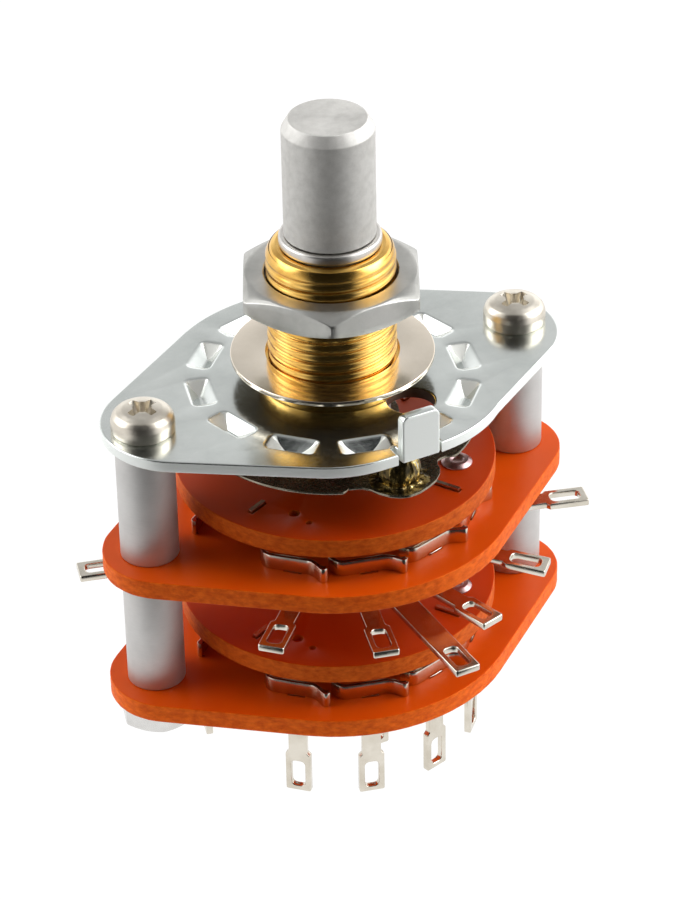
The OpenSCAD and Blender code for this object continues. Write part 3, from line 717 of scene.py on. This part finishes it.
def front_plate():
    s = Shape()
    base = ear_outline(PLATE_R, 5.5, 11.85, 1.5)
    # cut the outline straight in front, where the tab's tongue leaves it, and run the tongue out flat
    x0, x1, n0, n1, front = -0.77, 2.08, -1.1, 2.23, -11.45
    thick, thin = PLATE_TOP - PLATE_BOT, 0.75
    ri, A, y_root = 0.04, 0.95, -10.3
    y_bend = front + thin + ri
    tip = A + TAB_TOP - (PLATE_TOP + ri)
    corner = {}
    for rad in (8.0, 9.5):
        # arc that runs from the round edge into the straight one
        xc = math.sqrt((PLATE_R - rad) ** 2 - (front + rad) ** 2)
        turn = math.degrees(math.atan2(-(front + rad), xc))
        corner[rad] = (xc, turn)
    outline, tie_l, tie_r, done = [], [], [], False
    steps = [y_bend - A * k / 16 for k in range(17)] + [y_bend - A - (tip - A - 0.5) * k / 3 for k in (1, 2)]
    for p in base:
        ang = math.degrees(math.atan2(p[1], p[0]))
        if not (-180 + corner[8.0][1] < ang < -corner[9.5][1]):
            outline.append(p)
        elif not done:
            done = True
            xc, turn = corner[8.0]
            outline += arc(8.0, 180 + turn, 270, 1.5, (-xc, front + 8.0))
            outline += [(n0, front), (n0, -11.0), (n0, y_root - 0.1), (n0 + 0.05, y_root - 0.03), (n0 + 0.12, y_root),
                        (x0 - 0.12, y_root), (x0 - 0.05, y_root - 0.03), (x0, y_root - 0.1)]
            for y in steps:
                tie_l.append(len(outline))
                outline.append((x0, y))
            outline.extend(arc(0.45, 180, 270, 12, (x0 + 0.45, y_bend - tip + 0.45)))
            outline.extend(arc(0.45, 270, 360, 12, (x1 - 0.45, y_bend - tip + 0.45)))
            for y in steps[::-1]:
                tie_r.append(len(outline))
                outline.append((x1, y))
            outline += [(x1, y_root - 0.04), (x1 + 0.04, y_root), (n1 - 0.04, y_root), (n1, y_root - 0.04), (n1, -11.0)]
            xc, turn = corner[9.5]
            a0 = -math.degrees(math.acos((n1 - xc) / 9.5))
            outline += arc(9.5, a0, -turn, 1.5, (xc, front + 9.5))
    ties = list(zip(tie_l, tie_r[::-1]))
    # length, width and corner radius, at the mouth and at the ridge
    top, bottom = ((4.0, 2.04, 0.75), (1.0, 0.05, 0.02)), ((3.7, 2.1, 0.5), (1.6, 0.6, 0.25))
    mouth, bmouth = pit_loop(*top[0]), pit_loop(*bottom[0])
    tops, bots, places = [], [], []
    for i in range(12):
        a = math.radians(15 + 30 * i)

        def place(x, y, a=a):
            px, py = PIT_R - y, x
            return (px * math.cos(a) - py * math.sin(a), px * math.sin(a) + py * math.cos(a))
        places.append(place)
        tops.append([place(*p) for p in mouth])
        bots.append([place(*p) for p in bmouth])
    holes = [circle(4.04, 72), circle(1.25, 32, (-SCREW_X, 0)), circle(1.25, 32, (SCREW_X, 0)), circle(1.65, 40, (3, -5.75))]
    t_open, b_open = s.slab(outline, holes, PLATE_BOT, PLATE_TOP, 0.12, 4, tops, bots, ties)
    for ids, place in zip(t_open, places):
        hip_rings(s, ids, top, place, PLATE_TOP, 0.75, 1)
    for ids, place in zip(b_open, places):
        hip_rings(s, ids, bottom, place, PLATE_BOT, -0.6, -1)

    def bend(x, y, z):
        if y < y_bend and x0 - 0.02 < x < x1 + 0.02:
            t = y_bend - y
            k = min(1.0, t / A)
            # the tab is drawn a little thinner than the plate
            r = ri + (PLATE_TOP - z) * (1 - (1 - thin / thick) * k * k * (3 - 2 * k))
            if t < A:
                sw, cw = math.sin(PI / 2 * t / A), math.cos(PI / 2 * t / A)
                # the outside of the bend is pressed out almost square
                g = r * (1 + (r - ri) / thick * ((sw ** 12 + cw ** 12) ** (-1 / 12) - 1))
                return (x, y_bend - g * sw, PLATE_TOP + ri - g * cw)
            return (x, y_bend - r, PLATE_TOP + ri + t - A)
        return (x, y, z)
    s.move(bend)
    return s


front_plate().build("plate_body", M_PLATE, "frame", 40, ["front_plate"], "plate")


# ---------------------------------------------------------------- index spring
def index_spring():
    s = Shape()

    rim = 10.1
    # front lobe, from the left relief round the ball pocket to the right relief
    lobe = [(-3.62, -8.95), (-2.86, -9.22), (-2.42, -9.73), (-2.15, -10.35), (-1.62, -11.1), (-1.1, -11.5), (-0.45, -11.75), (0.4, -11.68), (1.3, -11.35), (2.1, -10.93), (2.7, -10.35), (3.02, -9.8), (3.12, -9.3), (3.28, -8.92), (3.53, -8.75), (4.04, -8.66)]
    lobe = fillet(lobe, [0, 0.5, 0.6] + [0.9] * 9 + [0.4, 0.3, 0.3, 0], 3, closed=False)
    outline = []
    for k in (0, 180):
        outline += [polar(rim, -114.6 + k), polar(rim - 0.16, -113.2 + k)]
        c, sn = math.cos(math.radians(k)), math.sin(math.radians(k))
        outline += [(x * c - y * sn, x * sn + y * c) for x, y in lobe]
        outline += [polar(rim - 0.3, -63.4 + k), polar(rim - 0.06, -62.0 + k)]
        outline += arc(rim, -60 + k, -117 + 180 + k, 3)
    w0 = math.degrees(math.asin(1.8 / 7.9))
    h0 = math.degrees(math.asin(1.8 / 4.6))
    win = arc(7.9, w0 - 90, 90 - w0, 4) + arc(4.6, 90 - h0, h0 - 90, 6)
    holes = [win, [(-x, -y) for x, y in win], circle(1.32, 32, (0, -9.4)), circle(1.32, 32, (0, 9.4)), circle(3.2, 40)]
    s.slab(outline, holes, -5.5, -5.3, 0.04, 2)
    return s


index_spring().build("index_spring_body", M_LEAF, "rotor", 40, ["index_spring"], "spring")

# Balls under a coat of lumpy grease, which also lies round each pocket
for node, sgn in (("front_detent_ball", -1), ("rear_detent_ball", 1)):
    s = Shape()
    prof = [(1.45 * math.sin(PI * k / 20), -4.45 - 1.45 * math.cos(PI * k / 20)) for k in range(21)]
    prof[0], prof[-1] = (0, prof[0][1]), (0, prof[-1][1])
    s.lathe(prof, 40, (0, sgn * 9.4), open_ends=True)
    s.build(node + "_body", M_BALL, "rotor", 60, [node], "ball")
    s = Shape()
    rows = []
    for k in range(19):
        # a dome from the leaf up to just under the plate
        t = k / 18
        row = []
        for q in range(96):
            a = 2 * PI * q / 96
            n = noise(2.6 * math.cos(a) + sgn, 2.6 * math.sin(a), 2.2 * t + sgn) + 0.6 * noise(7 * math.cos(a), 7 * math.sin(a), 5 * t)
            if t < 0.25:
                u = t / 0.25
                r = 2.1 - 0.55 * u ** 0.5 + 0.16 * n
                z = -5.30 + 0.22 * u ** 1.5 + 0.03 * n * u
            else:
                u = (t - 0.25) / 0.75
                el = -32 + (78 + 32) * u
                r = 1.52 * math.cos(math.radians(el)) * (1 + 0.06 * n)
                z = -4.45 + 1.50 * math.sin(math.radians(el)) + 0.05 * n * (1 - u)
                z = min(z, -2.96)
            row.append((r * math.cos(a), sgn * 9.4 + r * math.sin(a), z))
        rows.append(s.ring(row))
    for a, b in zip(rows, rows[1:]):
        s.bridge(a, b)
    s.cap([rows[-1]])
    s.cap([rows[0]], flip=True)
    s.build(node.replace("ball", "grease"), M_GREASE, "rotor", 60)


# ---------------------------------------------------------------- rotors
def rotor_disc(name, z0, z1, node):
    s = Shape()
    holes = []
    dd = arc(3.215, -37, 37, 6) + arc(3.215, 143, 217, 6)
    holes.append([(x, max(-1.94, min(1.94, y))) for x, y in dd])

    def slot(a, r0, r1, w):
        t = math.radians(a)
        pts = [(r0, -w), (r1, -w), (r1, w), (r0, w)]
        return [(x * math.cos(t) - y * math.sin(t), x * math.sin(t) + y * math.cos(t)) for x, y in pts]
    pits = []
    for k in (0, 180):
        holes.append(slot(-60 + k, 8.25, 10.25, 0.22))
        holes.append(slot(-155 + k, 8.1, 9.7, 0.22))
        holes.append(circle(0.5, 24, polar(8.75, -39.8 + k)))
        pits.append((polar(8.36, -137.5 + k), 0.42, 0.4))
        pits.append((polar(9.2, -129 + k), 0.25, 0.3))
    tops = [circle(r + 0.04, 24, c) for c, r, d in pits]
    t_open, _ = s.slab(circle(11.35, 240), holes, z0, z1, 0.07, 3, tops, rough=(0.035, 6))
    for ids, (c, r, d) in zip(t_open, pits):
        prev = ids
        for rr, dz in ((r, 0.03), (r - 0.03, d * 0.6), (r * 0.75, d), (r * 0.3, d)):
            cur = s.ring([(p[0], p[1], z1 - dz) for p in circle(rr, 24, c)])
            s.bridge(prev, cur)
            prev = cur
        s.cap([prev])
    s.build(name, M_ROTOR, "rotor", 40, [node], "rotor_laminate")


rotor_disc("upper_rotor_disc", RO1_BOT, RO1_TOP, "upper_rotor")
rotor_disc("lower_rotor_disc", RO2_BOT, RO2_TOP, "lower_rotor")

for nm, z0 in (("upper", RO1_BOT), ("lower", RO2_BOT)):
    s = Shape()
    t = 1.4
    for a in (-39.8, 140.2):
        s.lathe(fillet([(0, z0 + t + 0.14), (0.32, z0 + t + 0.16), (0.52, z0 + t + 0.34), (0.80, z0 + t + 0.32), (1.1, z0 + t + 0.10), (1.1, z0 + t), (0.48, z0 + t), (0.48, z0 - 0.3), (0.8, z0 - 0.3), (0.7, z0 - 0.6), (0, z0 - 0.6)],
                       [0, 0.05, 0.08, 0.1, 0.08, 0.03, 0, 0, 0.05, 0.08, 0], 3), 48, polar(8.75, a))
    s.build(nm + "_wiper_rivets_body", M_RIVET, "rotor", 40, [nm + "_wiper_rivets"], "rivet")


# ---------------------------------------------------------------- stators
def contact_deg(i): return -135 + (i - 1) * 30 if i <= 5 else 45 + (i - 6) * 30


def stator(name, z0, z1, node):
    s = Shape()
    holes = [circle(4.7, 72), circle(1.25, 32, (-SCREW_X, 0)), circle(1.25, 32, (SCREW_X, 0))]

    def slot(a, r, w, h):
        t = math.radians(a)
        pts = fillet([(r - w, -h), (r + w, -h), (r + w, h), (r - w, h)], 0.06, 2)
        return [(x * math.cos(t) - y * math.sin(t), x * math.sin(t) + y * math.cos(t)) for x, y in pts]
    for i in range(1, 11):
        holes.append(slot(contact_deg(i), LEG_R, 0.17, 0.64))
    for a in (-90, 90):
        holes.append(slot(a, COMMON_R, 0.19, 0.64))
    s.slab(ear_outline(12.75, 4.5, 13.35, 1.5), holes, z0, z1, 0.07, 3, rough=(0.04, 6))
    s.build(name, M_STATOR, "frame", 40, [node], "stator_laminate")


stator("upper_stator_deck", ST1_BOT, ST1_TOP, "upper_stator")
stator("lower_stator_deck", ST2_BOT, ST2_TOP, "lower_stator")


# ---------------------------------------------------------------- contacts
def ribbon(path, t):
    """Closed outline of a strip of thickness t along a path."""
    left, right = [], []
    n = len(path)
    for i in range(n):
        a = path[max(0, i - 1)]
        b = path[min(n - 1, i + 1)]
        u = sub(b, a)
        l = length(u)
        nx, ny = -u[1] / l, u[0] / l
        left.append((path[i][0] + nx * t / 2, path[i][1] + ny * t / 2))
        right.append((path[i][0] - nx * t / 2, path[i][1] - ny * t / 2))
    return right + left[::-1]


SPRING = fillet([polar(9.5, -15.3), polar(10.02, -12.6), polar(10.16, -10.2), polar(10.0, -1.5), polar(10.05, 7.2), polar(10.4, 9.6), polar(11.04, 12.4), polar(10.85, 13.5)],
                [0, 0.5, 0.9, 2.0, 1.2, 0.5, 0.22, 0], 5, closed=False)
BOW = [polar(COMMON_R + 0.22 * (1 - math.cos(math.radians(4.2 * a))), a) for a in [-26 + 3.25 * k for k in range(17)]]


def contact(name, a, r, z1, path, tip_r, bent, less, node, head=3.05, rise=(0, 0)):
    s = Shape()
    # spring wall
    s.slab(ribbon(path, 0.3), [], z1, z1 + 1.15, 0.06, 2)
    # its root, let through the stator's slot
    half = math.degrees(0.6 / r)
    s.slab(ribbon([polar(r, half * k / 2) for k in range(-2, 3)], 0.3), [], z1 - 1.5, z1 + 0.05, 0.02, 1)
    start = len(s.v)
    # leg and lug, cut flat and then bent
    top, thick = z1 - 1.42, STRIP
    bend_z = z1 - 1.4 - 2.1 + rise[0]
    end_z = z1 - 1.4 - 6.95 + less
    R = 0.5
    if bent:
        lv = top - (bend_z + R)
        la = R * PI / 2
        lh = tip_r - (r + R)
        total = lv + la + lh
        s_sh = lv + la + (tip_r - head - r - R)
        s_eye = total - 1.6
        marks = [lv + la * k / 8 for k in range(9)]
    else:
        total = top - end_z
        s_sh, s_eye = total - 3.3, total - 1.5
        marks = [1.2, 2.2]
    hw, nw = 0.925, 0.68
    # anticlockwise in (s, y): right side of the strip first
    right = [(0.0, -nw)] + [(m, -nw) for m in marks] + fillet([(s_sh - 0.3, -nw), (s_sh - 0.10, -nw), (s_sh + 0.14, -hw), (s_sh + 0.6, -hw)], [0, 0.12, 0.2, 0], 3, closed=False)
    tip = fillet([(s_sh + 0.7, -hw), (total, -hw), (total, hw), (s_sh + 0.7, hw)], [0, 0.14, 0.14, 0], 4, closed=False)
    left = [(x, -y) for x, y in right[::-1]]
    outline = right + tip + left
    n = len(outline)
    ties = [(1 + k, n - 2 - k) for k in range(len(marks))]
    eye = fillet([(s_eye - 1.08, -0.52), (s_eye + 1.08, -0.52), (s_eye + 1.08, 0.52), (s_eye - 1.08, 0.52)], 0.34, 5)
    s.slab(outline, [eye], -thick / 2, thick / 2, 0.08, 3, ties=ties)

    def place(x, y, h):
        # x runs along the strip, h is across its thickness
        if not bent or x < lv:
            return (r + h, y, top - x)
        if x < lv + la:
            w = (x - lv) / R
            return (r + R - (R - h) * math.cos(w), y, bend_z + R - (R - h) * math.sin(w))
        return (r + R + x - lv - la, y, bend_z + h + (rise[1] - rise[0]) * (x - lv - la) / lh)
    s.move(place, start)
    s.turned(a)
    s.build(name, M_TIN, "frame", 40, [node], "contact")


# Every upper lug was bent by hand a little differently: reach, rise at the root and at the tip
BENDS = {1: (15.4, 0.6, 0.6), 2: (15.2, 0.15, 0.15), 3: (15.85, 0.37, 0.37), 4: (15.6, 0.38, 0.0), 5: (18.6, 0.42, 0.22), 10: (18.75, -0.05, -0.05)}
for i in range(1, 11):
    reach = BENDS.get(i, (15.6, 0.2, 0.2))
    contact(f"upper_contact_strip_{i}", contact_deg(i), LEG_R, ST1_TOP, SPRING, reach[0], True, 0, f"upper_contact_{i}", rise=reach[1:])
    contact(f"lower_contact_strip_{i}", contact_deg(i), LEG_R, ST2_TOP, SPRING, 0, False, {3: 0.17, 4: 0.3}.get(i, 0), f"lower_contact_{i}")
for nm, a in (("front", -90), ("rear", 90)):
    contact(f"upper_common_strip_{nm}", a, COMMON_R, ST1_TOP, BOW, 19.0, True, 0, f"upper_common_{nm}", head=12.2, rise=(0.08, 0.08))
    contact(f"lower_common_strip_{nm}", a, COMMON_R, ST2_TOP, BOW, 0, False, 0.4, f"lower_common_{nm}")

# ---------------------------------------------------------------- spacers
for side, sx in (("left", -SCREW_X), ("right", SCREW_X)):
    for lev, z0 in (("upper", ST1_TOP), ("lower", ST2_TOP)):
        s = Shape()
        s.lathe(fillet([(1.3, z0), (2.05, z0), (2.05, z0 + 9.2), (1.3, z0 + 9.2)], [0.08, 0.12, 0.12, 0.08], 4), 96, (sx, 0))
        s.build(f"{lev}_{side}_spacer_tube", M_SPACER, "frame", 40, [f"{lev}_{side}_spacer"], "spacer")


# ---------------------------------------------------------------- screws
def screw(name, sx, node):
    s = Shape()
    prof = fillet([(0, -0.25), (0.8, -0.25), (1.4, -0.35), (1.85, -0.55), (2.1, -0.83), (2.22, -1.2), (2.22, -1.9), (2.1, -2.05), (1.1, -2.05), (1.1, -26.55), (0.95, -26.7), (0, -26.7)],
                  [0, 0.8, 0.8, 0.5, 0.4, 0.25, 0.12, 0.05, 0.05, 0.05, 0.05, 0], 5)
    s.lathe(prof, 96, (sx, 0))
    head = s.build(name, M_SCREW, "frame", 35, [node], "screw")
    # cross recess: two tapered blades and a conical middle, cut away
    for k in range(2):
        c = Shape()
        a = math.radians(20 + 90 * k)
        pts = []
        for z, l, w in ((-1.55, 0.5, 0.18), (-0.25, 1.18, 0.30), (0.2, 1.36, 0.34)):
            pts.append([(l, -w), (l, w), (-l, w), (-l, -w)])
        zs = (-1.55, -0.25, 0.2)
        rings = []
        for q, z in zip(pts, zs):
            loop = fillet(q, 0.12, 3)
            rings.append(c.ring([(sx + x * math.cos(a) - y * math.sin(a), x * math.sin(a) + y * math.cos(a), z) for x, y in loop]))
        c.bridge(rings[0], rings[1])
        c.bridge(rings[1], rings[2])
        c.cap([rings[0]], flip=True)
        c.cap([rings[2]])
        cut_with(head, c)
    c = Shape()
    c.lathe([(0, -1.95), (0.22, -1.72), (0.58, -0.95), (0.70, 0.2), (0, 0.2)], 32, (sx, 0), open_ends=True)
    cut_with(head, c)
    head.data.set_sharp_from_angle(angle=math.radians(30))
    return head


def cut_with(ob, shape):
    """Take a shape out of an object's mesh, once, and keep the result as its mesh."""
    bm = bmesh.new()
    vs = [bm.verts.new((x * MM, y * MM, z * MM)) for x, y, z in shape.v]
    for f in shape.f:
        if len(set(f)) > 2:
            try:
                bm.faces.new([vs[i] for i in f])
            except ValueError:
                pass
    bmesh.ops.recalc_face_normals(bm, faces=bm.faces)
    me = bpy.data.meshes.new("cutter")
    bm.to_mesh(me)
    bm.free()
    cut = bpy.data.objects.new("cutter", me)
    COL.objects.link(cut)
    mod = ob.modifiers.new("cut", "BOOLEAN")
    mod.operation, mod.solver, mod.object = "DIFFERENCE", "EXACT", cut
    bpy.context.view_layer.update()
    dg = bpy.context.evaluated_depsgraph_get()
    new = bpy.data.meshes.new_from_object(ob.evaluated_get(dg))
    ob.modifiers.clear()
    ob.data = new
    bpy.data.objects.remove(cut)
    for p in new.polygons:
        p.use_smooth = True


screw("left_screw_body", -SCREW_X, "left_screw")
screw("right_screw_body", SCREW_X, "right_screw")
for side, sx in (("left", -SCREW_X), ("right", SCREW_X)):
    hex_nut(f"{side}_screw_nut_body", (sx, 0), 5.0, -26.0, -24.1, 12, 1.15, 0.05, "frame", M_SCREWNUT, f"{side}_screw_nut", "nut", csk=0.2, round_r=0.2)

# ---------------------------------------------------------------- what stays from the solids
PLAIN = {"index_sleeve": M_SPACER, "rotor_sleeve": M_SPACER, "tail_clip": M_LEAF,
         "upper_wiper_a": M_TIN, "upper_wiper_b": M_TIN, "lower_wiper_a": M_TIN, "lower_wiper_b": M_TIN}
for n, m in PLAIN.items():
    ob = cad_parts[n]
    ob.data.materials.clear()
    ob.data.materials.append(m)
    mod = ob.modifiers.new("edge", "BEVEL")
    mod.width, mod.segments, mod.limit_method, mod.angle_limit = 0.00004, 2, "ANGLE", math.radians(45)
for n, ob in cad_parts.items():
    if n not in PLAIN:
        ob.data.materials.clear()
        ob.data.materials.append(M_SHAFT)

# ---------------------------------------------------------------- floor, light, camera
FLOOR_Z = -31.06
fm = bpy.data.meshes.new("floor")
R = 4.0
fm.from_pydata([(-R, -R, FLOOR_Z * MM), (R, -R, FLOOR_Z * MM), (R, R, FLOOR_Z * MM), (-R, R, FLOOR_Z * MM)], [], [(0, 1, 2, 3)])
floor = bpy.data.objects.new("floor", fm)
COL.objects.link(floor)
m, nt, b = new_mat("floor_white")
v = coords(nt)
nf = noise_node(nt, v, 3, 2, 0.5)
nt.links.new(ramp(nt, nf, [(0.3, (0.014, 0.014, 0.014, 1)), (0.7, (0.017, 0.017, 0.017, 1))]), b.inputs["Base Color"])
b.inputs["Roughness"].default_value = 0.9
b.inputs["Specular IOR Level"].default_value = 0.0
b.inputs["Emission Color"].default_value = (1, 1, 1, 1)
# the floor is plain and pale, and a dark card out in front of the object shows in reflections only
tcf = nt.nodes.new("ShaderNodeTexCoord")
FRONT_AZ = math.radians(-90 - 27.445)


def along(az, source):
    n = nt.nodes.new("ShaderNodeVectorMath")
    n.operation = "DOT_PRODUCT"
    n.inputs[1].default_value = (math.cos(az), math.sin(az), 0)
    nt.links.new(source, n.inputs[0])
    return n.outputs["Value"]


def calc(op, a, b=None):
    n = nt.nodes.new("ShaderNodeMath")
    n.operation = op
    for k, x in enumerate((a, b)):
        if x is None:
            continue
        if isinstance(x, (int, float)):
            n.inputs[k].default_value = x
        else:
            nt.links.new(x, n.inputs[k])
    return n.outputs[0]


def step(value, lo, hi, out0, out1):
    n = nt.nodes.new("ShaderNodeMapRange")
    n.interpolation_type = "SMOOTHSTEP"
    for k, x in (("From Min", lo), ("From Max", hi), ("To Min", out0), ("To Max", out1)):
        n.inputs[k].default_value = x
    nt.links.new(value, n.inputs["Value"])
    return n.outputs["Result"]


fwd_d, side_d = along(FRONT_AZ, tcf.outputs["Object"]), along(FRONT_AZ + PI / 2, tcf.outputs["Object"])
turn = calc("ABSOLUTE", calc("SUBTRACT", calc("ARCTAN2", side_d, fwd_d), math.radians(3.5)))
far = step(calc("POWER", calc("ADD", calc("MULTIPLY", fwd_d, fwd_d), calc("MULTIPLY", side_d, side_d)), 0.5), 0.058, 0.074, 1, 0)
half = calc("ADD", math.radians(40), calc("MULTIPLY", far, math.radians(11)))
wedge = calc("MULTIPLY", step(calc("SUBTRACT", turn, half), math.radians(-12), math.radians(12), 1, 0), step(fwd_d, 0.024, 0.038, 0, 1))
rays = nt.nodes.new("ShaderNodeLightPath")
wedge = calc("MULTIPLY", wedge, calc("SUBTRACT", 1.0, rays.outputs["Is Camera Ray"]))
nt.links.new(calc("SUBTRACT", 1.04, calc("MULTIPLY", wedge, 1.033)), b.inputs["Emission Strength"])
fm.materials.append(m)

PSI = math.radians(27.445)
EL = math.radians(32.89)
ROLL = math.radians(-1.183)
d = Vector((0, -math.cos(EL), math.sin(EL)))
fwd = -d
right = Vector((1, 0, 0))
up = right.cross(fwd)
r_ = math.cos(ROLL) * right + math.sin(ROLL) * up
u_ = -math.sin(ROLL) * right + math.cos(ROLL) * up
C = 0.311 * r_ - 5.368 * u_ + 245.257 * d
rz = Matrix.Rotation(-PSI, 3, "Z")
r_, u_, fwd, C = rz @ r_, rz @ u_, rz @ fwd, rz @ C
C.z -= 2.0
cd = bpy.data.cameras.new("camera")
cd.lens = 3524.432 / 900 * 36
cd.sensor_width = 36
cd.sensor_fit = "AUTO"
cd.clip_start, cd.clip_end = 0.01, 20
cam = bpy.data.objects.new("camera", cd)
COL.objects.link(cam)
cam.matrix_world = Matrix(((r_.x, u_.x, -fwd.x, C.x * MM), (r_.y, u_.y, -fwd.y, C.y * MM), (r_.z, u_.z, -fwd.z, C.z * MM), (0, 0, 0, 1)))
bpy.context.scene.camera = cam



w = bpy.data.worlds.new("studio")
bpy.context.scene.world = w
w.use_nodes = True
nt = w.node_tree
bg = nt.nodes["Background"]
tc = nt.nodes.new("ShaderNodeTexCoord")
sp = nt.nodes.new("ShaderNodeSeparateXYZ")
nt.links.new(tc.outputs["Generated"], sp.inputs["Vector"])
sky = ramp(nt, sp.outputs["Z"], [(0.0, grey(1.0)), (0.25, grey(1.0)), (0.42, grey(0.63)), (0.56, grey(0.42)), (0.78, grey(0.33)), (1.0, grey(0.26))])
# darker towards the camera's side
front = along(FRONT_AZ, tc.outputs["Generated"])
to_right = along(FRONT_AZ + PI / 2, tc.outputs["Generated"])
aside = calc("ABSOLUTE", to_right)
dark = calc("MULTIPLY", step(front, 0.0, 0.36, 0, 1), step(aside, 0.50, 0.88, 1, 0))
level = calc("MULTIPLY", calc("ADD", 1.17, calc("MULTIPLY", to_right, 0.30)), calc("SUBTRACT", 1.0, calc("MULTIPLY", dark, 0.985)))


def lobe(az, el, core, rim, power):
    """Soft box at an azimuth from the camera's side, in degrees, positive to the camera's right."""
    a, e = FRONT_AZ + math.radians(az), math.radians(el)
    n = nt.nodes.new("ShaderNodeVectorMath")
    n.operation = "DOT_PRODUCT"
    n.inputs[1].default_value = (math.cos(a) * math.cos(e), math.sin(a) * math.cos(e), math.sin(e))
    nt.links.new(tc.outputs["Generated"], n.inputs[0])
    return step(n.outputs["Value"], math.cos(math.radians(rim)), math.cos(math.radians(core)), 0, power)


lamps = calc("ADD", lobe(-98, 40, 9, 30, 6.0), lobe(94, 42, 10, 32, 8.2))
mul = nt.nodes.new("ShaderNodeVectorMath")
mul.operation = "SCALE"
nt.links.new(sky, mul.inputs[0])
nt.links.new(calc("ADD", level, lamps), mul.inputs["Scale"])
nt.links.new(mul.outputs["Vector"], bg.inputs["Color"])
bg.inputs["Strength"].default_value = 1.35

sc = bpy.context.scene
sc.view_settings.view_transform = "Standard"
sc.view_settings.look = "None"
sc.view_settings.exposure = 0.0
sc.view_settings.gamma = 1.0
